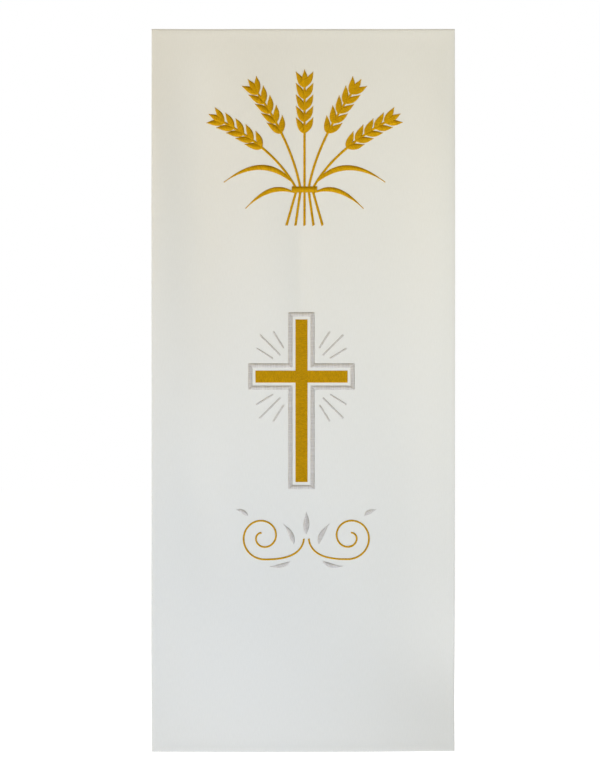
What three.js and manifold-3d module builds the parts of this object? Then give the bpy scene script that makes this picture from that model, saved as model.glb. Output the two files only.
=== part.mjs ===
// Ambo cloth: one hemmed length of white cloth that hangs from its top edge in soft, uneven folds.
// Its front is embroidered with a gold wheat sheaf, a gold cross in a silver outline, and gold scrolls.
// Millimetres, +Z up. The origin is the middle of the top edge, and the embroidered front looks along -Y.
import * as THREE from "three";
import { mergeVertices } from "three/addons/utils/BufferGeometryUtils.js";
import Module from "manifold-3d";

const wasm = await Module();
wasm.setup();

// The cloth and the hem turned to its back along all four edges
const CLOTH_WIDTH = 503;
const CLOTH_DROP = 1200;
const CLOTH_THICKNESS = 1.2;
const HEM_WIDTH = 14;
const HEM_THICKNESS = 1.1;
const HEM_STEP = 1;
const COLUMN_CELLS = 34;
const ROW_CELLS = 24;

// Soft folds. Each is a trough (depth above 0, away from the front) or a ridge (below 0) around a place
// given across from the middle and down from the top; lean is its sideways drift per millimetre of drop.
const FOLDS = [
  { name: "left ridge", across: -242, down: 280, halfWidth: 26, halfHeight: 300, depth: -6, lean: 0 },
  { name: "left trough", across: -172, down: 200, halfWidth: 38, halfHeight: 330, depth: 8, lean: -0.02 },
  { name: "inner ridge", across: -64, down: 260, halfWidth: 38, halfHeight: 300, depth: -4.5, lean: 0 },
  { name: "centre crease", across: -4, down: 370, halfWidth: 20, halfHeight: 190, depth: 3.2, lean: 0 },
  { name: "right ridge", across: 230, down: 260, halfWidth: 40, halfHeight: 380, depth: -8, lean: 0 },
  { name: "right edge turn", across: 268, down: 60, halfWidth: 20, halfHeight: 300, depth: 4, lean: 0 },
  { name: "right hollow", across: 172, down: 800, halfWidth: 48, halfHeight: 230, depth: 4, lean: 0 },
  { name: "low left hollow", across: -172, down: 800, halfWidth: 40, halfHeight: 120, depth: 4.5, lean: 0.05 },
  { name: "low belly", across: -80, down: 1030, halfWidth: 160, halfHeight: 210, depth: -10, lean: 0.1 },
  { name: "low right hollow", across: 275, down: 1090, halfWidth: 130, halfHeight: 110, depth: 12, lean: 0.2 },
];

// The top edge is held nearly straight, and the folds grow from it over this reach
const TOP_HOLD = { share: 0.8, reach: 120 };

// Embroidery
const STITCH_GAP = 0.3;
const STITCH_HEIGHT = 1;
const STITCH_TIP = 1.4;
const PRISM_DEPTH = 120;

// Wheat sheaf, in the upper field; the ears on the right are repeated in the mirror on the left
const SHEAF_ACROSS = 2;
const SHEAF_TIE = { down: 266, halfWidth: 21, height: 10 };
const SHEAF_FOOT_DOWN = 326;
const STEM_WIDTH = 4;
const GRAIN = { length: 30, width: 10.5, pairs: 5, pitch: 19, spread: 0.5, steps: 4 };
const MIDDLE_EAR = { foot: 0, tie: 0, turnAcross: 0, turnDown: 180, tipAcross: 0, tipDown: 97 };
const SIDE_EARS = [
  { foot: 15, tie: 6.5, turnAcross: 20, turnDown: 190, tipAcross: 77, tipDown: 108 },
  { foot: 30, tie: 13, turnAcross: 45, turnDown: 204, tipAcross: 133, tipDown: 155 },
];
const SHEAF_BLADES = [
  { baseAcross: 16, baseDown: 258, turnAcross: 66, turnDown: 204, tipAcross: 134, tipDown: 254, width: 9 },
  { baseAcross: 16, baseDown: 272, turnAcross: 54, turnDown: 252, tipAcross: 98, tipDown: 298, width: 8 },
];

// Cross, in the middle field
const CROSS = { across: -3, top: 470, foot: 764, beamDown: 577, halfBeam: 88.5, barWidth: 44 };
const OUTLINE_WIDTH = 7;
const OUTLINE_SPACE = 5;
const RAY_WIDTH = 3;
const RAYS = [
  { turn: 0.56, from: 56, to: 88 },
  { turn: 0.785, from: 50, to: 98 },
  { turn: 1.01, from: 56, to: 88 },
];

// Scrolls and leaves, in the lower field; the right half is repeated in the mirror on the left
const SCROLL_ACROSS = 5;
const SCROLL_WIDTH = 3;
const SCROLL_STEM = {
  baseAcross: 4, baseDown: 846, turnAcross: 8, turnDown: 882, tipAcross: 72, tipDown: 880,
};
const SCROLL_EYE = { across: 72, down: 843, outerRadius: 37, innerRadius: 7, turns: 1.45 };
const BUD = { baseDown: 838, tipDown: 802, width: 10 };
const SCROLL_LEAVES = [
  { baseAcross: 21, baseDown: 855, turnAcross: 22, turnDown: 838, tipAcross: 38, tipDown: 822, width: 8 },
  { baseAcross: 27, baseDown: 884, turnAcross: 40, turnDown: 893, tipAcross: 60, tipDown: 892, width: 7 },
  { baseAcross: 97, baseDown: 808, turnAcross: 104, turnDown: 800, tipAcross: 116, tipDown: 798, width: 7 },
];

const WHITE_CLOTH = new THREE.MeshStandardMaterial({ color: 0xe2e2da, roughness: 0.9, metalness: 0 });
const GOLD_THREAD = new THREE.MeshStandardMaterial({ color: 0xb88610, roughness: 0.45, metalness: 0.35 });
const SILVER_THREAD = new THREE.MeshStandardMaterial({ color: 0xbdb9b4, roughness: 0.45, metalness: 0.3 });

// How far back the middle of the cloth lies at a place on it
function hangDepth(across, down) {
  let depth = 0;
  for (const fold of FOLDS) {
    const below = down - fold.down;
    const beside = (across - fold.across - fold.lean * below) / fold.halfWidth;
    const along = below / fold.halfHeight;
    depth += fold.depth * Math.exp(-beside * beside - along * along);
  }
  return depth * (1 - TOP_HOLD.share * Math.exp(-((down / TOP_HOLD.reach) ** 2)));
}

// Grid lines from one edge to the other, with a pair of lines where each hem ends
function gridLines(length, cells) {
  const inner = HEM_WIDTH + HEM_STEP;
  const lines = [0, HEM_WIDTH];
  for (let cell = 0; cell <= cells; cell++) {
    lines.push(inner + ((length - 2 * inner) * cell) / cells);
  }
  lines.push(length - HEM_WIDTH, length);
  return lines;
}

// A closed sheet on the folds of the cloth, between two depths measured from its middle
function foldedSheet(frontDepth, backDepth) {
  const columns = gridLines(CLOTH_WIDTH, COLUMN_CELLS);
  const rows = gridLines(CLOTH_DROP, ROW_CELLS);
  const spans = { x: columns.length - 1, z: rows.length - 1 };
  const sheet = new THREE.BoxGeometry(spans.x, 1, spans.z, spans.x, 1, spans.z);
  const places = sheet.attributes.position;
  for (let i = 0; i < places.count; i++) {
    const column = Math.round(places.getX(i) + spans.x / 2);
    const row = Math.round(spans.z / 2 - places.getZ(i));
    const across = columns[column] - CLOTH_WIDTH / 2;
    const down = rows[row];
    const depth = places.getY(i) < 0 ? frontDepth : backDepth(across, down);
    places.setXYZ(i, across, hangDepth(across, down) + depth, -down);
  }
  return sheet;
}

// Depth of the back of the cloth: the hem's turned layer stands behind the edges
function clothBack(across, down) {
  const inHem =
    Math.abs(across) >= CLOTH_WIDTH / 2 - HEM_WIDTH || down <= HEM_WIDTH || down >= CLOTH_DROP - HEM_WIDTH;
  return CLOTH_THICKNESS / 2 + (inHem ? HEM_THICKNESS : 0);
}

function toSolid(geometry) {
  geometry.deleteAttribute("normal");
  geometry.deleteAttribute("uv");
  const merged = mergeVertices(geometry);
  const mesh = new wasm.Mesh({
    numProp: 3,
    vertProperties: new Float32Array(merged.attributes.position.array),
    triVerts: new Uint32Array(merged.index.array),
  });
  return new wasm.Manifold(mesh);
}

function toGeometry(solid) {
  const mesh = solid.getMesh();
  const geometry = new THREE.BufferGeometry();
  geometry.setAttribute("position", new THREE.BufferAttribute(mesh.vertProperties, 3));
  geometry.setIndex(new THREE.BufferAttribute(mesh.triVerts, 1));
  geometry.computeVertexNormals();
  return geometry;
}

// A flat outline made a deep prism along Y, through all the folds
function prism(shape) {
  const block = new THREE.ExtrudeGeometry(shape, { depth: PRISM_DEPTH, bevelEnabled: false });
  block.rotateX(Math.PI / 2);
  block.translate(0, PRISM_DEPTH / 2, 0);
  return toSolid(block);
}

// The layer just in front of the cloth that all stitches lie in
const STITCH_BACK = -CLOTH_THICKNESS / 2 - STITCH_GAP;
const stitchLayer = toSolid(foldedSheet(STITCH_BACK - STITCH_HEIGHT, () => STITCH_BACK));

const cloth = new THREE.Group();

const joinAll = (shapes) => shapes.map(prism).reduce((joined, block) => joined.add(block));

// Stitches that fill some outlines, less any bare field inside them
function embroider(name, shapes, thread, bareField) {
  let stitches = stitchLayer.intersect(joinAll(shapes));
  if (bareField) {
    stitches = stitches.subtract(prism(bareField));
  }
  const mesh = new THREE.Mesh(toGeometry(stitches), thread);
  mesh.name = name;
  cloth.add(mesh);
}

const place = (across, down) => new THREE.Vector2(across, -down);

// Width along a leaf or grain, from its base to its tip
const leafWidth = (width) => (t) => width * Math.sin(Math.PI * Math.pow(t, 0.8));

// Outline of a stitched column: a curve widened to both sides
function columnShape(curve, widthAt, steps) {
  const left = [];
  const right = [];
  for (let step = 0; step <= steps; step++) {
    const t = step / steps;
    const middle = curve.getPoint(t);
    const along = curve.getTangent(t);
    const side = new THREE.Vector2(-along.y, along.x);
    side.multiplyScalar(Math.max(widthAt(t), STITCH_TIP) / 2);
    left.push(middle.clone().add(side));
    right.unshift(middle.clone().sub(side));
  }
  return new THREE.Shape([...left, ...right]);
}

function bladeShape(blade, middle, side, steps) {
  const base = place(middle + side * blade.baseAcross, blade.baseDown);
  const turn = place(middle + side * blade.turnAcross, blade.turnDown);
  const tip = place(middle + side * blade.tipAcross, blade.tipDown);
  return columnShape(new THREE.QuadraticBezierCurve(base, turn, tip), leafWidth(blade.width), steps);
}

function grainShape(base, direction) {
  const tip = base.clone().addScaledVector(direction, GRAIN.length);
  return columnShape(new THREE.LineCurve(base, tip), leafWidth(GRAIN.width), GRAIN.steps);
}

// One ear of wheat: a stalk from its foot past the tie to the ear, pairs of grains and one at the tip
function earShapes(ear, side) {
  const foot = place(SHEAF_ACROSS + side * ear.foot, SHEAF_FOOT_DOWN);
  const tie = place(SHEAF_ACROSS + side * ear.tie, SHEAF_TIE.down);
  const turn = place(SHEAF_ACROSS + side * ear.turnAcross, ear.turnDown);
  const tip = place(SHEAF_ACROSS + side * ear.tipAcross, ear.tipDown);
  const stalk = new THREE.QuadraticBezierCurve(tie, turn, tip);
  const stalkLength = stalk.getLength();
  const shapes = [
    columnShape(new THREE.LineCurve(foot, tie), () => STEM_WIDTH, 1),
    columnShape(stalk, () => STEM_WIDTH, 8),
    grainShape(tip, stalk.getTangent(1)),
  ];
  for (let pair = 0; pair < GRAIN.pairs; pair++) {
    const t = 1 - (pair * GRAIN.pitch) / stalkLength;
    const along = stalk.getTangentAt(t);
    for (const spread of [-GRAIN.spread, GRAIN.spread]) {
      shapes.push(grainShape(stalk.getPointAt(t), along.clone().rotateAround(new THREE.Vector2(), spread)));
    }
  }
  return shapes;
}

function sheafShapes() {
  const shapes = earShapes(MIDDLE_EAR, 1);
  for (const side of [-1, 1]) {
    SIDE_EARS.forEach((ear) => shapes.push(...earShapes(ear, side)));
    SHEAF_BLADES.forEach((blade) => shapes.push(bladeShape(blade, SHEAF_ACROSS, side, 8)));
  }
  const tieLeft = place(SHEAF_ACROSS - SHEAF_TIE.halfWidth, SHEAF_TIE.down);
  const tieRight = place(SHEAF_ACROSS + SHEAF_TIE.halfWidth, SHEAF_TIE.down);
  shapes.push(columnShape(new THREE.LineCurve(tieLeft, tieRight), () => SHEAF_TIE.height, 1));
  return shapes;
}

// The cross, drawn in from its outer edge by an inset
function crossShape(inset) {
  const half = CROSS.barWidth / 2 - inset;
  const top = CROSS.top + inset;
  const foot = CROSS.foot - inset;
  const reach = CROSS.halfBeam - inset;
  const rightSide = [
    [half, top],
    [half, CROSS.beamDown - half],
    [reach, CROSS.beamDown - half],
    [reach, CROSS.beamDown + half],
    [half, CROSS.beamDown + half],
    [half, foot],
  ];
  const leftSide = rightSide.map(([across, down]) => [-across, down]).reverse();
  const corners = [...rightSide, ...leftSide];
  return new THREE.Shape(corners.map(([across, down]) => place(CROSS.across + across, down)));
}

function rayShape(ray, sideways, upward) {
  const direction = new THREE.Vector2(sideways * Math.cos(ray.turn), upward * Math.sin(ray.turn));
  const middle = place(CROSS.across, CROSS.beamDown);
  const from = middle.clone().addScaledVector(direction, ray.from);
  const to = middle.clone().addScaledVector(direction, ray.to);
  return columnShape(new THREE.LineCurve(from, to), () => RAY_WIDTH, 1);
}

// A spiral that starts under its eye and winds outwards, up and in
class ScrollCurve extends THREE.Curve {
  constructor(side) {
    super();
    this.side = side;
  }
  getPoint(t) {
    const turn = 2 * Math.PI * SCROLL_EYE.turns * t;
    const radius = THREE.MathUtils.lerp(SCROLL_EYE.outerRadius, SCROLL_EYE.innerRadius, t);
    const across = SCROLL_EYE.across + radius * Math.sin(turn);
    return place(SCROLL_ACROSS + this.side * across, SCROLL_EYE.down + radius * Math.cos(turn));
  }
}

function scrollShapes(side) {
  const base = place(SCROLL_ACROSS + side * SCROLL_STEM.baseAcross, SCROLL_STEM.baseDown);
  const turn = place(SCROLL_ACROSS + side * SCROLL_STEM.turnAcross, SCROLL_STEM.turnDown);
  const tip = place(SCROLL_ACROSS + side * SCROLL_STEM.tipAcross, SCROLL_STEM.tipDown);
  return [
    columnShape(new THREE.QuadraticBezierCurve(base, turn, tip), () => SCROLL_WIDTH, 8),
    columnShape(new ScrollCurve(side), () => SCROLL_WIDTH, 30),
  ];
}

const panel = new THREE.Mesh(foldedSheet(-CLOTH_THICKNESS / 2, clothBack), WHITE_CLOTH);
panel.name = "cloth_panel";
cloth.add(panel);

embroider("wheat_sheaf", sheafShapes(), GOLD_THREAD);
embroider("cross_gold", [crossShape(OUTLINE_WIDTH + OUTLINE_SPACE)], GOLD_THREAD);
embroider("cross_outline", [crossShape(0)], SILVER_THREAD, crossShape(OUTLINE_WIDTH));
for (const [corner, sideways, upward] of [["a", -1, 1], ["b", 1, 1], ["c", -1, -1], ["d", 1, -1]]) {
  RAYS.forEach((ray, index) => {
    embroider(`ray_${corner}${index + 1}`, [rayShape(ray, sideways, upward)], SILVER_THREAD);
  });
}
for (const [hand, side] of [["left", -1], ["right", 1]]) {
  embroider(`scroll_${hand}`, scrollShapes(side), GOLD_THREAD);
  SCROLL_LEAVES.forEach((leaf, index) => {
    embroider(`leaf_${hand}_${index + 1}`, [bladeShape(leaf, SCROLL_ACROSS, side, 6)], SILVER_THREAD);
  });
}
const budBase = place(SCROLL_ACROSS, BUD.baseDown);
const budTip = place(SCROLL_ACROSS, BUD.tipDown);
embroider("bud", [columnShape(new THREE.LineCurve(budBase, budTip), leafWidth(BUD.width), 6)], SILVER_THREAD);

export default cloth;
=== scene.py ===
import math

import bmesh
import bpy
import numpy as np
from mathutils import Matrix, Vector


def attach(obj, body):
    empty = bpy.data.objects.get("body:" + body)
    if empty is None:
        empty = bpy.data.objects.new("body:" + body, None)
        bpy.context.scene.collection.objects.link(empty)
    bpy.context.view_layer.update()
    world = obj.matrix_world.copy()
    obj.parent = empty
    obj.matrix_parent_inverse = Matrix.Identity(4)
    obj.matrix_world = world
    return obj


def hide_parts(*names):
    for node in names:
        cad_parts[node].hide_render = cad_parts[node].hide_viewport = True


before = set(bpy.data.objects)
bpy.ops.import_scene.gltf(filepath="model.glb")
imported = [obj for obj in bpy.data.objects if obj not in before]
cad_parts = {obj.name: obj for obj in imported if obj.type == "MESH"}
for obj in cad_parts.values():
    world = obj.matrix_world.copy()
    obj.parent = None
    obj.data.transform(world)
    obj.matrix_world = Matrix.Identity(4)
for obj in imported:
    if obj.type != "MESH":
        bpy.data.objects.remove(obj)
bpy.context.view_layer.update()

# Sizes are in millimetres and become metres when a point is placed
MM = 0.001

# Cloth: the same cut, hems and folds as its solid, on a thinner sheet
CLOTH_WIDTH = 503.0
CLOTH_DROP = 1200.0
CLOTH_FRONT = -0.6
CLOTH_THICKNESS = 0.55
CLOTH_COLUMNS = 116
CLOTH_ROWS = 276
HEM_WIDTH = 14.0
HEM_SEAM = 11.5
HEM_LINES = [0.0, 3.0, 6.0, 9.0, 11.5, 14.0, 15.5, 18.0]
HEM_RISE = 0.3
HEM_STEP = 2.0
SEAM_DIP = 0.3
SEAM_DIP_WIDTH = 1.6

# Steps of the hem's turn, each by its reach past the edge and its depth behind the front
HEM_TURN = [(0.35, 0.3), (0.35, 1.1), (0.0, 1.4), (-5.0, 1.45), (-10.0, 1.45), (-13.4, 1.4)]

FOLDS = [
    dict(name="left ridge", across=-242, down=280, half_width=26, half_height=300, depth=-6, lean=0),
    dict(name="left trough", across=-172, down=200, half_width=38, half_height=330, depth=8, lean=-0.02),
    dict(name="inner ridge", across=-64, down=260, half_width=38, half_height=300, depth=-4.5, lean=0),
    dict(name="centre crease", across=-4, down=370, half_width=20, half_height=190, depth=3.2, lean=0),
    dict(name="right ridge", across=230, down=260, half_width=40, half_height=380, depth=-8, lean=0),
    dict(name="right edge turn", across=268, down=60, half_width=20, half_height=300, depth=4, lean=0),
    dict(name="right hollow", across=172, down=800, half_width=48, half_height=230, depth=4, lean=0),
    dict(name="low left hollow", across=-172, down=800, half_width=40, half_height=120, depth=4.5, lean=0.05),
    dict(name="low belly", across=-80, down=1030, half_width=160, half_height=210, depth=-10, lean=0.1),
    dict(name="low right hollow", across=275, down=1090, half_width=130, half_height=110, depth=12, lean=0.2),
]

# The top edge is held nearly straight, and the folds grow from it over this reach
TOP_HOLD = dict(share=0.8, reach=120)

# A finer crease that the solid leaves out
PRESS_LINE = dict(across=-6, down=390, half_width=4, half_height=110, depth=0.4, lean=0)

# Strands: steps from one needle hole to the next, and the share of its crown that a strand has at each
RING_STEPS = np.array([0.0, 0.2, 0.8, 1.0])
RING_RISE = np.array([0.0, 1.0, 1.0, 0.0])
STRAND_SIDES = 4
THREAD_HEIGHT = 0.34

# Satin stitch: the crown grows with the width of the column, and the needle wanders a little
SATIN_PITCH = 0.56
SATIN_THREAD = 0.66
SATIN_SLANT = 0.35
SATIN_CROWN = 0.3
SATIN_CROWN_SHARE = 0.06
SATIN_WANDER = 0.12
STITCH_TIP = 1.4
LEAF_SWELL = 0.8
CURVE_SAMPLES = 400
CURVE_STEP = 0.004

# Fill stitch: rows of short stitches, each row shifted by a share of a stitch against the last
FILL_PITCH = 0.56
FILL_STITCH = 3.4
FILL_SHIFT = 0.37
FILL_WANDER = 0.45
FILL_SHORTEST = 0.8
FILL_CROWN = 0.32
FILL_LIFT = 0.1

# Bobbin side: fewer and wider strands on the back
BOBBIN_CROWN = 0.25
BOBBIN_KEEP_EVERY = 3
BOBBIN_SPREAD = 0.4

# Hem seam: straight stitches that sink into the cloth
HEM_STITCH = 2.7
HEM_STITCH_GAP = 0.6
HEM_THREAD = 0.4
HEM_CROWN = 0.02
HEM_LIFT = -0.14
HEM_BACK = 1.26

# Wheat sheaf
SHEAF_ACROSS = 2
SHEAF_TIE = dict(down=266, half_width=21, height=10, lift=0.4)
SHEAF_FOOT_DOWN = 326
STEM_WIDTH = 4
STALK_STEP = 0.01
GRAIN = dict(length=30, width=10.5, pairs=5, pitch=19, spread=0.5, lift=0.15, tip_lift=0.3)
MIDDLE_EAR = dict(foot=0, tie=0, turn_across=0, turn_down=180, tip_across=0, tip_down=97)
SIDE_EARS = [
    dict(foot=15, tie=6.5, turn_across=20, turn_down=190, tip_across=77, tip_down=108),
    dict(foot=30, tie=13, turn_across=45, turn_down=204, tip_across=133, tip_down=155),
]
SHEAF_BLADES = [
    dict(base=(16, 258), turn=(66, 204), tip=(134, 254), width=9),
    dict(base=(16, 272), turn=(54, 252), tip=(98, 298), width=8),
]

# Cross, its outline and its rays
CROSS = dict(across=-3, top=470, foot=764, beam_down=577, half_beam=88.5, bar_width=44)
OUTLINE_WIDTH = 7
OUTLINE_SPACE = 5
OUTLINE_WANDER = 0.1
OUTLINE_SHORTEST = 0.6
RAY_WIDTH = 3
RAYS = [
    dict(turn=0.56, start=56, end=88),
    dict(turn=0.785, start=50, end=98),
    dict(turn=1.01, start=56, end=88),
]
RAY_CORNERS = [("a", -1, 1), ("b", 1, 1), ("c", -1, -1), ("d", 1, -1)]

# Scrolls, leaves and bud
SCROLL_ACROSS = 5
SCROLL_WIDTH = 3
SCROLL_STEM = dict(base=(4, 846), turn=(8, 882), tip=(72, 880))
SCROLL_EYE = dict(across=72, down=843, outer_radius=37, inner_radius=7, turns=1.45)
BUD = dict(base_down=838, tip_down=802, width=10)
SCROLL_LEAVES = [
    dict(base=(21, 855), turn=(22, 838), tip=(38, 822), width=8),
    dict(base=(27, 884), turn=(40, 893), tip=(60, 892), width=7),
    dict(base=(97, 808), turn=(104, 800), tip=(116, 798), width=7),
]

# Threads
GOLD_RAYON = dict(
    dark=(0.565, 0.31, 0.002),
    light=(0.765, 0.453, 0.005),
    metallic=0.35,
    roughness=0.34,
    shine=0.8,
    glint=(1.0, 0.9, 0.12),
)
SILVER_RAYON = dict(
    dark=(0.64, 0.61, 0.585),
    light=(0.76, 0.735, 0.715),
    metallic=0.3,
    roughness=0.36,
)
WHITE_BOBBIN = dict(
    dark=(0.79, 0.79, 0.77),
    light=(0.85, 0.85, 0.83),
    metallic=0.0,
    roughness=0.6,
)

# Camera: the photograph's frame is 600 by 780 pixels, and the cloth fills this part of it
FRAME_PIXELS = (600, 780)
CLOTH_TOP_PIXEL = 29.4
CLOTH_BOTTOM_PIXEL = 751.6
CLOTH_MIDDLE_PIXEL = 303.3
LENS = 85.0
SENSOR = 36.0

# Stage: the floor lies this far below the cloth, and its radius is in metres
FLOOR_DROP = 320.0
FLOOR_RADIUS = 14.0
FLOOR_GLOW = 0.955

# Lamps, in metres and watts: one from the left, three small ones near the cloth and one behind it
LAMPS = [
    dict(
        name="window",
        place=(-3.6, -2.6, -0.9),
        target=(0, 0, -0.7),
        size=(1.0, 1.0),
        power=45,
        colour=(1.0, 0.9, 0.68),
    ),
    dict(
        name="right_lamp",
        place=(0.75, -1.0, -0.3),
        target=(0.2, 0, -0.3),
        size=(0.5, 0.5),
        power=3.2,
        colour=(0.95, 1.0, 0.9),
    ),
    dict(
        name="low_lamp",
        place=(-0.2, -0.8, -0.9),
        target=(-0.05, 0, -0.9),
        size=(0.5, 0.5),
        power=1.6,
        colour=(0.15, 0.45, 1.0),
    ),
    dict(
        name="top_lamp",
        place=(-0.4, -1.5, 0.1),
        target=(-0.08, 0, -0.2),
        size=(0.9, 0.6),
        power=3.1,
        colour=(1.0, 0.65, 0.05),
    ),
    dict(
        name="behind",
        place=(0.8, 2.2, 0.4),
        target=(0, 0, -0.6),
        size=(1.6, 1.6),
        power=22,
        colour=(1.0, 1.0, 1.0),
    ),
]
AROUND_COLOUR = (1.0, 0.92, 0.78, 1)
AROUND_STRENGTH = 0.06

rng = np.random.default_rng(7)


# Cloth

def hang_depth(across, down):
    """How far back the cloth lies at places on it, in millimetres."""
    depth = np.zeros(np.broadcast(across, down).shape)
    for fold in FOLDS + [PRESS_LINE]:
        below = down - fold["down"]
        beside = (across - fold["across"] - fold["lean"] * below) / fold["half_width"]
        along = below / fold["half_height"]
        depth += fold["depth"] * np.exp(-beside * beside - along * along)
    return depth * (1 - TOP_HOLD["share"] * np.exp(-((down / TOP_HOLD["reach"]) ** 2)))


def hem_relief(across, down):
    """The front stands out over the turned hem and dips along its seam."""
    to_edge = np.minimum(CLOTH_WIDTH / 2 - np.abs(across), np.minimum(down, CLOTH_DROP - down))
    rise = HEM_RISE * np.clip((HEM_WIDTH + HEM_STEP / 2 - to_edge) / HEM_STEP, 0, 1)
    dip = SEAM_DIP * np.exp(-((to_edge - HEM_SEAM) / SEAM_DIP_WIDTH) ** 2)
    return dip - rise


def placed(across, down, behind_front):
    """World points for places on the cloth, some way behind its front face (below 0 is before it)."""
    depth = hang_depth(across, down) + hem_relief(across, down) + CLOTH_FRONT + behind_front
    return np.stack([across * MM, depth * MM, -down * MM], axis=-1)


def grid_lines(length, cells):
    """Lines from edge to edge, closer together at the hems."""
    inner = HEM_LINES[-1]
    count = cells - 2 * (len(HEM_LINES) - 1)
    middle = [inner + (length - 2 * inner) * step / count for step in range(count + 1)]
    far = [length - line for line in reversed(HEM_LINES[:-1])]
    return HEM_LINES[:-1] + middle + far


def lay_out_cloth(bm):
    """A flat grid with the cloth's own lines: x is across, y is down below zero, z is behind the front."""
    half_grid = 0.5
    bmesh.ops.create_grid(bm, x_segments=CLOTH_COLUMNS, y_segments=CLOTH_ROWS, size=half_grid)
    columns = grid_lines(CLOTH_WIDTH, CLOTH_COLUMNS)
    rows = grid_lines(CLOTH_DROP, CLOTH_ROWS)
    for vert in bm.verts:
        column = round((vert.co.x + half_grid) * CLOTH_COLUMNS)
        row = round((half_grid - vert.co.y) * CLOTH_ROWS)
        vert.co = (columns[column] - CLOTH_WIDTH / 2, -rows[row], 0.0)


def turn_hems(bm):
    """The rim is drawn round the edge and back under the cloth, step by step."""
    half = CLOTH_WIDTH / 2
    edge_slack = 0.5
    merge_within = 0.01
    for reach, behind in HEM_TURN:
        rim = [edge for edge in bm.edges if edge.is_boundary]
        made = bmesh.ops.extrude_edge_only(bm, edges=rim)["geom"]
        for vert in (part for part in made if isinstance(part, bmesh.types.BMVert)):
            x, y = vert.co.x, vert.co.y
            if reach >= 0:
                x = math.copysign(half + reach, x) if abs(x) > half - edge_slack else x
                y = reach if y > -edge_slack else y
                y = -CLOTH_DROP - reach if y < edge_slack - CLOTH_DROP else y
            else:
                x = max(-half - reach, min(half + reach, x))
                y = max(-CLOTH_DROP - reach, min(reach, y))
            vert.co = (x, y, behind)
    bmesh.ops.remove_doubles(bm, verts=bm.verts, dist=merge_within)


def keep_flat_uv(bm):
    """The weave follows the flat cut, in metres."""
    uv = bm.loops.layers.uv.new("UVMap")
    for face in bm.faces:
        for loop in face.loops:
            loop[uv].uv = (loop.vert.co.x * MM, loop.vert.co.y * MM)


def hang_cloth(bm):
    """The flat cloth is laid on its folds, and its outline stays as it was cut."""
    flat = np.array([vert.co[:] for vert in bm.verts])
    half = CLOTH_WIDTH / 2
    across = np.clip(flat[:, 0], -half, half)
    down = np.clip(-flat[:, 1], 0, CLOTH_DROP)
    points = placed(across, down, flat[:, 2])
    points[:, 0] = flat[:, 0] * MM
    points[:, 2] = flat[:, 1] * MM
    for vert, point in zip(bm.verts, points):
        vert.co = point


def finish_mesh(name, bm, material):
    mesh = bpy.data.meshes.new(name)
    bm.to_mesh(mesh)
    bm.free()
    mesh.materials.append(material)
    piece = bpy.data.objects.new(name, mesh)
    bpy.context.scene.collection.objects.link(piece)
    return piece


def make_cloth(material):
    bm = bmesh.new()
    lay_out_cloth(bm)
    turn_hems(bm)
    keep_flat_uv(bm)
    hang_cloth(bm)
    bmesh.ops.recalc_face_normals(bm, faces=bm.faces)
    bm.faces.ensure_lookup_table()
    if bm.faces[0].normal.y > 0:
        bmesh.ops.reverse_faces(bm, faces=bm.faces)
    for face in bm.faces:
        face.smooth = True
    cloth = finish_mesh("cloth_sheet", bm, material)
    sheet = cloth.modifiers.new("Thickness", "SOLIDIFY")
    sheet.thickness = CLOTH_THICKNESS * MM
    sheet.offset = -1
    return cloth


# Strands: each thread is a slim closed strand from one needle hole to the next

def strand_pattern():
    """One strand before it is laid: x is sideways, y is out of the cloth and z counts its rings."""
    bm = bmesh.new()
    last = len(RING_STEPS) - 1
    bmesh.ops.create_cone(bm, cap_ends=True, segments=STRAND_SIDES, radius1=1, radius2=1, depth=last)
    lengthwise = [edge for edge in bm.edges if edge.verts[0].co.z * edge.verts[1].co.z < 0]
    bmesh.ops.subdivide_edges(bm, edges=lengthwise, cuts=last - 1)
    bmesh.ops.translate(bm, vec=(0, 0, last / 2), verts=bm.verts)
    return bm


def repeat_strand(bm, count):
    """Copies strands until there are enough, each with its vertices in the first one's order."""
    kinds = (bm.verts, bm.edges, bm.faces)
    sizes = [len(kind) for kind in kinds]
    made = 1
    while made < count:
        more = min(made, count - made)
        originals = [part for kind, size in zip(kinds, sizes) for part in kind[:more * size]]
        bmesh.ops.duplicate(bm, geom=originals)
        made += more


def lay_strands(pattern, starts, ends, crown, lift, thickness, back_face):
    """Points of strands that bow out of the cloth between their two ends, on its front or its back face."""
    sideways, outward = pattern[:, 0] * thickness / 2, pattern[:, 1] * THREAD_HEIGHT
    ring = pattern[:, 2].round().astype(int)
    run = ends - starts
    side = np.stack([-run[:, 1], run[:, 0]], axis=1) / np.linalg.norm(run, axis=1, keepdims=True)
    spots = starts[:, None, :] + run[:, None, :] * RING_STEPS[ring][:, None]
    spots += side[:, None, :] * sideways[:, None]
    crowns = np.broadcast_to(crown, (len(starts),))[:, None]
    height = crowns * RING_RISE[ring] + lift + outward
    behind = -height if back_face is None else back_face + height
    return placed(spots[..., 0], spots[..., 1], behind).reshape(-1, 3)


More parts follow.
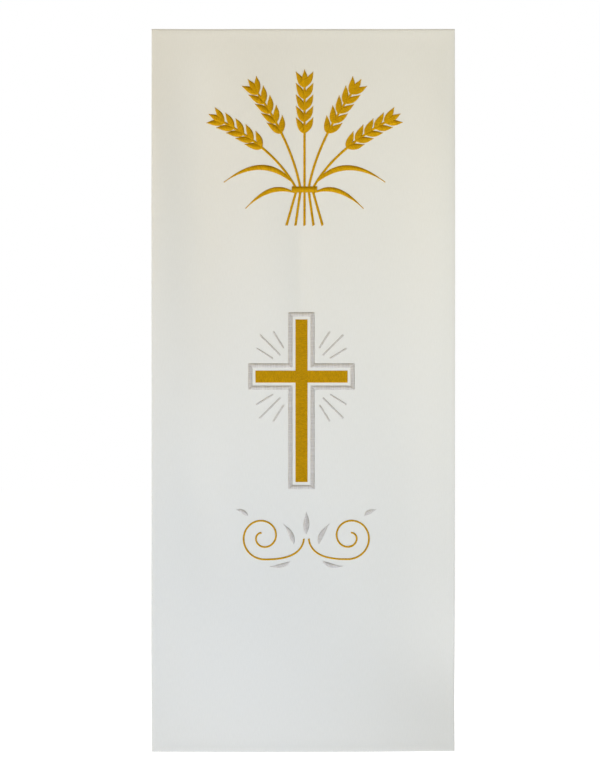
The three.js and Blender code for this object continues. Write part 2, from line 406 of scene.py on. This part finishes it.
class Stitching:
    """Strands of one motif, gathered and then joined into one mesh."""

    def __init__(self):
        self.runs = []

    def add(self, starts, ends, crown, lift=0.0, thickness=SATIN_THREAD):
        self.runs.append((starts, ends, crown, lift, thickness))

    def piece(self, name, material, back_face=None, crown=None, keep_every=1):
        """One mesh of the strands, or some of them, on the front or on a back face."""
        bm = strand_pattern()
        pattern = np.array([vert.co[:] for vert in bm.verts])
        points, shades = [], []
        for starts, ends, own_crown, lift, thickness in self.runs:
            starts, ends = starts[::keep_every], ends[::keep_every]
            raised = (own_crown, lift) if crown is None else (crown, 0.0)
            width = thickness * (1 + BOBBIN_SPREAD * (keep_every - 1))
            points.append(lay_strands(pattern, starts, ends, *raised, width, back_face))
            shades.append(np.repeat(rng.random(len(starts)), len(pattern)))
        points, shades = np.concatenate(points), np.concatenate(shades)
        repeat_strand(bm, len(points) // len(pattern))
        if back_face is None:
            bmesh.ops.reverse_faces(bm, faces=bm.faces)
        for face in bm.faces:
            face.smooth = True
        made = finish_mesh(name, bm, material)
        made.data.vertices.foreach_set("co", points.ravel())
        shade = made.data.attributes.new("shade", "FLOAT", "POINT")
        shade.data.foreach_set("value", shades)
        made.data.update()
        return made


# Curves and columns of satin stitch

def line(start, end):
    start, end = np.array(start, float), np.array(end, float)
    return lambda t: start + (end - start) * np.asarray(t)[:, None]


def bend(base, turn, tip):
    base, turn, tip = (np.array(point, float) for point in (base, turn, tip))

    def at(t):
        t = np.asarray(t)[:, None]
        return base * (1 - t) ** 2 + turn * 2 * t * (1 - t) + tip * t**2

    return at


def travel(curve):
    """Shares of the way along a curve, and the length travelled up to each."""
    shares = np.linspace(0, 1, CURVE_SAMPLES)
    steps = np.linalg.norm(np.diff(curve(shares), axis=0), axis=1)
    return shares, np.concatenate([[0], np.cumsum(steps)])


def heading(curve, share):
    """The place at a share of the way along a curve, and the direction in which it is reached."""
    here, before = curve(np.array([share, max(share - STALK_STEP, 0)]))
    return here, (here - before) / np.linalg.norm(here - before)


def leaf_width(width):
    return lambda t: width * np.sin(np.pi * np.power(t, LEAF_SWELL))


def even_width(width):
    return lambda t: np.full(len(t), float(width))


def satin_column(stitching, curve, width_at, lift=0.0, slant=SATIN_SLANT):
    """Satin stitch: threads side by side across a curve, from one side of the column to the other."""
    shares, travelled = travel(curve)
    count = max(int(travelled[-1] / SATIN_PITCH), 2)
    t = np.interp((np.arange(count) + 0.5) / count * travelled[-1], travelled, shares)
    middle = curve(t)
    along = curve(np.minimum(t + CURVE_STEP, 1)) - curve(np.maximum(t - CURVE_STEP, 0))
    along /= np.linalg.norm(along, axis=1, keepdims=True)
    side = np.stack([-along[:, 1], along[:, 0]], axis=1)
    half = np.maximum(width_at(t), STITCH_TIP) / 2
    reach = half[:, None] + rng.uniform(-SATIN_WANDER, SATIN_WANDER, (count, 1))
    lean = along * (slant * half)[:, None]
    starts = middle - side * reach - lean
    ends = middle + side * reach + lean
    stitching.add(starts, ends, SATIN_CROWN + SATIN_CROWN_SHARE * 2 * half, lift)


def mirrored(point, middle, side):
    return (middle + side * point[0], point[1])


def mirrored_bend(points, middle, side):
    return bend(*(mirrored(points[key], middle, side) for key in ("base", "turn", "tip")))


def turned(direction, angle):
    cos, sin = math.cos(angle), math.sin(angle)
    return np.array([direction[0] * cos - direction[1] * sin, direction[0] * sin + direction[1] * cos])


# Wheat sheaf

def grain_column(sheaf, foot, direction, lift):
    tip = foot + direction * GRAIN["length"]
    satin_column(sheaf, line(foot, tip), leaf_width(GRAIN["width"]), lift)


def ear_columns(sheaf, ear, side):
    """One ear: a stalk in two lengths, then its grains from the lowest pair up to the tip."""
    foot = mirrored((ear["foot"], SHEAF_FOOT_DOWN), SHEAF_ACROSS, side)
    tie = mirrored((ear["tie"], SHEAF_TIE["down"]), SHEAF_ACROSS, side)
    turn = mirrored((ear["turn_across"], ear["turn_down"]), SHEAF_ACROSS, side)
    tip = mirrored((ear["tip_across"], ear["tip_down"]), SHEAF_ACROSS, side)
    stalk = bend(tie, turn, tip)
    satin_column(sheaf, line(foot, tie), even_width(STEM_WIDTH))
    satin_column(sheaf, stalk, even_width(STEM_WIDTH))
    shares, travelled = travel(stalk)
    for pair in reversed(range(GRAIN["pairs"])):
        share = np.interp(travelled[-1] - pair * GRAIN["pitch"], travelled, shares)
        here, along = heading(stalk, share)
        for spread in (-GRAIN["spread"], GRAIN["spread"]):
            grain_column(sheaf, here, turned(along, spread), GRAIN["lift"])
    here, along = heading(stalk, 1.0)
    grain_column(sheaf, here, along, GRAIN["tip_lift"])


def stitch_sheaf():
    sheaf = Stitching()
    for side in (-1, 1):
        for blade in SHEAF_BLADES:
            satin_column(sheaf, mirrored_bend(blade, SHEAF_ACROSS, side), leaf_width(blade["width"]))
    for side in (-1, 1):
        for ear in reversed(SIDE_EARS):
            ear_columns(sheaf, ear, side)
    ear_columns(sheaf, MIDDLE_EAR, 1)
    tie_end = (SHEAF_TIE["half_width"], SHEAF_TIE["down"])
    left, right = (mirrored(tie_end, SHEAF_ACROSS, side) for side in (-1, 1))
    satin_column(sheaf, line(left, right), even_width(SHEAF_TIE["height"]), SHEAF_TIE["lift"], slant=0.0)
    return sheaf


# Cross, its outline and its rays

def fill_rows(stitching, corner, size, along_down):
    """Fill stitch over a bar, in rows that run down it or across it."""
    width, length = size if along_down else size[::-1]
    starts, ends = [], []
    rows = int(width / FILL_PITCH)
    for row in range(rows):
        beside = (row + 0.5) * width / rows
        shift = (row * FILL_SHIFT % 1) * FILL_STITCH
        breaks = np.arange(shift - FILL_STITCH, length, FILL_STITCH)
        breaks += rng.uniform(-FILL_WANDER, FILL_WANDER, len(breaks))
        inside = (breaks > FILL_SHORTEST) & (breaks < length - FILL_SHORTEST)
        breaks = np.concatenate([[0], breaks[inside], [length]])
        for start, end in zip(breaks[:-1], breaks[1:]):
            starts.append((beside, start) if along_down else (start, beside))
            ends.append((beside, end) if along_down else (end, beside))
    corner = np.array(corner)
    stitching.add(np.array(starts) + corner, np.array(ends) + corner, FILL_CROWN, FILL_LIFT)


def stitch_cross():
    cross = Stitching()
    inset = OUTLINE_WIDTH + OUTLINE_SPACE
    half = CROSS["bar_width"] / 2 - inset
    reach = CROSS["half_beam"] - inset
    top, foot = CROSS["top"] + inset, CROSS["foot"] - inset
    middle, beam = CROSS["across"], CROSS["beam_down"]
    fill_rows(cross, (middle - half, top), (2 * half, foot - top), along_down=False)
    for start in (middle - reach, middle + half):
        fill_rows(cross, (start, beam - half), (reach - half, 2 * half), along_down=True)
    return cross


def cross_corners(inset):
    half = CROSS["bar_width"] / 2 - inset
    reach = CROSS["half_beam"] - inset
    beam = CROSS["beam_down"]
    right = [
        (half, CROSS["top"] + inset),
        (half, beam - half),
        (reach, beam - half),
        (reach, beam + half),
        (half, beam + half),
        (half, CROSS["foot"] - inset),
    ]
    left = [(-across, down) for across, down in reversed(right)]
    return np.array([(CROSS["across"] + across, down) for across, down in right + left])


def stitch_outline():
    """Satin stitch round the cross, mitred where two sides meet."""
    outline = Stitching()
    outer, inner = cross_corners(0), cross_corners(OUTLINE_WIDTH)
    for index in range(len(outer)):
        after = (index + 1) % len(outer)
        run = outer[after] - outer[index]
        length = np.linalg.norm(run)
        along = run / length
        inward = (inner[index] - outer[index]) + (inner[after] - outer[after])
        inward -= along * (inward @ along)
        inward /= np.linalg.norm(inward)
        near = (inner[index] - outer[index]) @ along
        far = (inner[after] - outer[index]) @ along
        low, high = min(0, near), max(length, far)
        places = np.arange(low + SATIN_PITCH / 2, high, SATIN_PITCH)
        first, last = np.zeros(len(places)), np.full(len(places), float(OUTLINE_WIDTH))
        for gap, step in ((places, near), (length - places, length - far)):
            share = gap * OUTLINE_WIDTH / step
            if step > 0:
                last = np.where(gap < step, np.minimum(last, share), last)
            else:
                first = np.where(gap < 0, np.maximum(first, share), first)
        keep = last - first > OUTLINE_SHORTEST
        first, last = first[keep], last[keep]
        spots = outer[index] + along * places[keep][:, None]
        first_end = first + rng.uniform(-OUTLINE_WANDER, OUTLINE_WANDER, len(first))
        last_end = last + rng.uniform(-OUTLINE_WANDER, OUTLINE_WANDER, len(last))
        starts, ends = (spots + inward * end[:, None] for end in (first_end, last_end))
        outline.add(starts, ends, SATIN_CROWN + SATIN_CROWN_SHARE * (last - first))
    return outline


def stitch_ray(ray, sideways, upward):
    stitches = Stitching()
    direction = np.array([sideways * math.cos(ray["turn"]), -upward * math.sin(ray["turn"])])
    middle = np.array([CROSS["across"], CROSS["beam_down"]])
    ends = middle + direction * ray["start"], middle + direction * ray["end"]
    satin_column(stitches, line(*ends), even_width(RAY_WIDTH))
    return stitches


# Scrolls, leaves and bud

def scroll_curve(side):
    outer, inner = SCROLL_EYE["outer_radius"], SCROLL_EYE["inner_radius"]

    def at(t):
        t = np.asarray(t)
        turn = 2 * math.pi * SCROLL_EYE["turns"] * t
        radius = outer + (inner - outer) * t
        across = SCROLL_EYE["across"] + radius * np.sin(turn)
        return np.stack([SCROLL_ACROSS + side * across, SCROLL_EYE["down"] + radius * np.cos(turn)], axis=1)

    return at


def stitch_scroll(side):
    scroll = Stitching()
    satin_column(scroll, mirrored_bend(SCROLL_STEM, SCROLL_ACROSS, side), even_width(SCROLL_WIDTH))
    satin_column(scroll, scroll_curve(side), even_width(SCROLL_WIDTH))
    return scroll


def stitch_leaf(leaf, side):
    stitches = Stitching()
    satin_column(stitches, mirrored_bend(leaf, SCROLL_ACROSS, side), leaf_width(leaf["width"]))
    return stitches


def stitch_bud():
    bud = Stitching()
    ends = (SCROLL_ACROSS, BUD["base_down"]), (SCROLL_ACROSS, BUD["tip_down"])
    satin_column(bud, line(*ends), leaf_width(BUD["width"]))
    return bud


# Hem seam

def stitch_hem():
    """A row of straight stitches round the hem's seam."""
    hem = Stitching()
    half = CLOTH_WIDTH / 2 - HEM_SEAM
    low, high = HEM_SEAM, CLOTH_DROP - HEM_SEAM
    corners = np.array([(-half, low), (half, low), (half, high), (-half, high)])
    for start, end in zip(corners, np.roll(corners, -1, axis=0)):
        length = np.linalg.norm(end - start)
        along = (end - start) / length
        places = np.arange(HEM_STITCH_GAP, length - HEM_STITCH, HEM_STITCH + HEM_STITCH_GAP)
        starts = start + along * places[:, None]
        hem.add(starts, starts + along * HEM_STITCH, HEM_CROWN, HEM_LIFT, HEM_THREAD)
    return hem


# Materials

def new_material(name):
    material = bpy.data.materials.new(name)
    material.use_nodes = True
    nodes = material.node_tree.nodes
    return material, nodes, material.node_tree.links, nodes["Principled BSDF"]


def white_cloth_material():
    """Fine white twill: a slanting weave, faint slubs and a soft matt face."""
    material, nodes, links, surface = new_material("white_twill")
    surface.inputs["Roughness"].default_value = 0.82
    surface.inputs["Specular IOR Level"].default_value = 0.25
    surface.inputs["Sheen Weight"].default_value = 0.08
    surface.inputs["Sheen Roughness"].default_value = 0.5
    place = nodes.new("ShaderNodeTexCoord")
    slant = nodes.new("ShaderNodeMapping")
    slant.inputs["Rotation"].default_value = (0, 0, math.radians(58))
    links.new(place.outputs["UV"], slant.inputs["Vector"])
    twill = nodes.new("ShaderNodeTexWave")
    twill.inputs["Scale"].default_value = 420
    twill.inputs["Distortion"].default_value = 0.6
    links.new(slant.outputs["Vector"], twill.inputs["Vector"])
    stretch = nodes.new("ShaderNodeMapping")
    stretch.inputs["Scale"].default_value = (900, 90, 1)
    links.new(place.outputs["UV"], stretch.inputs["Vector"])
    slub = nodes.new("ShaderNodeTexNoise")
    slub.inputs["Scale"].default_value = 1.0
    slub.inputs["Detail"].default_value = 3
    links.new(stretch.outputs["Vector"], slub.inputs["Vector"])
    tone = nodes.new("ShaderNodeValToRGB")
    tone.color_ramp.elements[0].position = 0.25
    tone.color_ramp.elements[0].color = (0.775, 0.775, 0.752, 1)
    tone.color_ramp.elements[1].position = 0.75
    tone.color_ramp.elements[1].color = (0.805, 0.805, 0.782, 1)
    links.new(slub.outputs["Fac"], tone.inputs["Fac"])
    links.new(tone.outputs["Color"], surface.inputs["Base Color"])
    weave = nodes.new("ShaderNodeBump")
    weave.inputs["Strength"].default_value = 0.25
    weave.inputs["Distance"].default_value = 0.00012
    links.new(twill.outputs["Fac"], weave.inputs["Height"])
    slubs = nodes.new("ShaderNodeBump")
    slubs.inputs["Strength"].default_value = 0.2
    slubs.inputs["Distance"].default_value = 0.00015
    links.new(slub.outputs["Fac"], slubs.inputs["Height"])
    links.new(weave.outputs["Normal"], slubs.inputs["Normal"])
    links.new(slubs.outputs["Normal"], surface.inputs["Normal"])
    return material


def thread_material(name, dark, light, metallic, roughness, shine=0.25, glint=(1.0, 1.0, 1.0)):
    """Embroidery thread: each strand a little lighter or darker, with its ply as a fine bump."""
    material, nodes, links, surface = new_material(name)
    surface.inputs["Metallic"].default_value = metallic
    surface.inputs["Roughness"].default_value = roughness
    surface.inputs["Specular IOR Level"].default_value = shine
    surface.inputs["Specular Tint"].default_value = (*glint, 1)
    strand = nodes.new("ShaderNodeAttribute")
    strand.attribute_name = "shade"
    tone = nodes.new("ShaderNodeValToRGB")
    tone.color_ramp.elements[0].color = (*dark, 1)
    tone.color_ramp.elements[1].color = (*light, 1)
    links.new(strand.outputs["Fac"], tone.inputs["Fac"])
    links.new(tone.outputs["Color"], surface.inputs["Base Color"])
    place = nodes.new("ShaderNodeTexCoord")
    ply = nodes.new("ShaderNodeTexNoise")
    ply.inputs["Scale"].default_value = 2600
    ply.inputs["Detail"].default_value = 1
    links.new(place.outputs["Object"], ply.inputs["Vector"])
    bump = nodes.new("ShaderNodeBump")
    bump.inputs["Strength"].default_value = 0.2
    bump.inputs["Distance"].default_value = 0.0001
    links.new(ply.outputs["Fac"], bump.inputs["Height"])
    links.new(bump.outputs["Normal"], surface.inputs["Normal"])
    return material


def floor_material():
    material, _, _, surface = new_material("pale_floor")
    surface.inputs["Roughness"].default_value = 0.95
    surface.inputs["Specular IOR Level"].default_value = 0.0
    surface.inputs["Base Color"].default_value = (0.9, 0.9, 0.9, 1)
    surface.inputs["Emission Color"].default_value = (1.0, 1.0, 1.0, 1)
    surface.inputs["Emission Strength"].default_value = FLOOR_GLOW
    return material


# Stage, light and camera

def make_floor():
    bm = bmesh.new()
    bmesh.ops.create_circle(bm, cap_ends=True, segments=96, radius=FLOOR_RADIUS)
    bmesh.ops.translate(bm, vec=(0, 0, -(CLOTH_DROP + FLOOR_DROP) * MM), verts=bm.verts)
    floor = finish_mesh("floor", bm, floor_material())


def area_light(name, place, target, size, power, colour):
    data = bpy.data.lights.new(name, "AREA")
    data.shape = "RECTANGLE"
    data.size, data.size_y = size
    data.energy = power
    data.color = colour
    light = bpy.data.objects.new(name, data)
    light.location = place
    aim = Vector(target) - Vector(place)
    light.rotation_euler = aim.to_track_quat("-Z", "Y").to_euler()
    light.visible_camera = False
    bpy.context.scene.collection.objects.link(light)


def make_surroundings():
    """The camera sees plain white, and the cloth gets a faint warm light from all round."""
    world = bpy.data.worlds.new("white_studio")
    world.use_nodes = True
    bpy.context.scene.world = world
    nodes, links = world.node_tree.nodes, world.node_tree.links
    around = nodes["Background"]
    around.inputs["Color"].default_value = AROUND_COLOUR
    around.inputs["Strength"].default_value = AROUND_STRENGTH
    seen = nodes.new("ShaderNodeBackground")
    seen.inputs["Color"].default_value = (1, 1, 1, 1)
    seen.inputs["Strength"].default_value = 1.0
    path = nodes.new("ShaderNodeLightPath")
    either = nodes.new("ShaderNodeMixShader")
    links.new(path.outputs["Is Camera Ray"], either.inputs["Fac"])
    links.new(around.outputs["Background"], either.inputs[1])
    links.new(seen.outputs["Background"], either.inputs[2])
    links.new(either.outputs["Shader"], nodes["World Output"].inputs["Surface"])


def make_camera():
    data = bpy.data.cameras.new("camera")
    data.lens = LENS
    data.sensor_width = SENSOR
    camera = bpy.data.objects.new("camera", data)
    pixel = CLOTH_DROP * MM / (CLOTH_BOTTOM_PIXEL - CLOTH_TOP_PIXEL)
    distance = FRAME_PIXELS[1] * pixel * LENS / SENSOR
    across = (FRAME_PIXELS[0] / 2 - CLOTH_MIDDLE_PIXEL) * pixel
    down = (FRAME_PIXELS[1] / 2 - CLOTH_TOP_PIXEL) * pixel
    camera.location = (across, -distance, -down)
    camera.rotation_euler = (math.radians(90), 0, 0)
    bpy.context.scene.collection.objects.link(camera)
    bpy.context.scene.camera = camera
    bpy.context.scene.view_settings.view_transform = "Standard"


# The pieces, put together

def stitch_motifs(gold, silver):
    """Every motif by its node, with its stitches, their thread and the thread's slot."""
    motifs = [
        ("wheat_sheaf", stitch_sheaf(), gold, "gold_thread"),
        ("cross_gold", stitch_cross(), gold, "gold_thread"),
        ("cross_outline", stitch_outline(), silver, "silver_thread"),
        ("bud", stitch_bud(), silver, "silver_thread"),
    ]
    for corner, sideways, upward in RAY_CORNERS:
        for index, ray in enumerate(RAYS, start=1):
            stitches = stitch_ray(ray, sideways, upward)
            motifs.append((f"ray_{corner}{index}", stitches, silver, "silver_thread"))
    for hand, side in (("left", -1), ("right", 1)):
        motifs.append((f"scroll_{hand}", stitch_scroll(side), gold, "gold_thread"))
        for index, leaf in enumerate(SCROLL_LEAVES, start=1):
            motifs.append((f"leaf_{hand}_{index}", stitch_leaf(leaf, side), silver, "silver_thread"))
    return motifs


def make_embroidery(motifs):
    pieces = []
    for node, stitching, thread, slot in motifs:
        piece = stitching.piece(f"{node}_stitches", thread)
        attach(piece, "root")
        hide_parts(node)
        pieces.append(piece)
    return pieces


def make_plain_stitches(motifs, bobbin):
    """The bobbin side of all motifs on the back, and the hem's seam on both faces."""
    reverse = Stitching()
    for _, stitching, _, _ in motifs:
        reverse.runs.extend(stitching.runs)
    hem = stitch_hem()
    pieces = [
        reverse.piece("reverse_stitches", bobbin, CLOTH_THICKNESS, BOBBIN_CROWN, BOBBIN_KEEP_EVERY),
        hem.piece("hem_stitches_front", bobbin),
        hem.piece("hem_stitches_back", bobbin, HEM_BACK),
    ]
    for piece in pieces:
        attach(piece, "root")
    return pieces


def main():
    make_camera()
    for lamp in LAMPS:
        area_light(**lamp)
    make_surroundings()
    make_floor()

    cloth = make_cloth(white_cloth_material())
    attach(cloth, "root")
    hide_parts("cloth_panel")

    gold = thread_material("gold_rayon", **GOLD_RAYON)
    silver = thread_material("silver_rayon", **SILVER_RAYON)
    bobbin = thread_material("white_bobbin", **WHITE_BOBBIN)
    motifs = stitch_motifs(gold, silver)
    trims = make_embroidery(motifs) + make_plain_stitches(motifs, bobbin)


main()
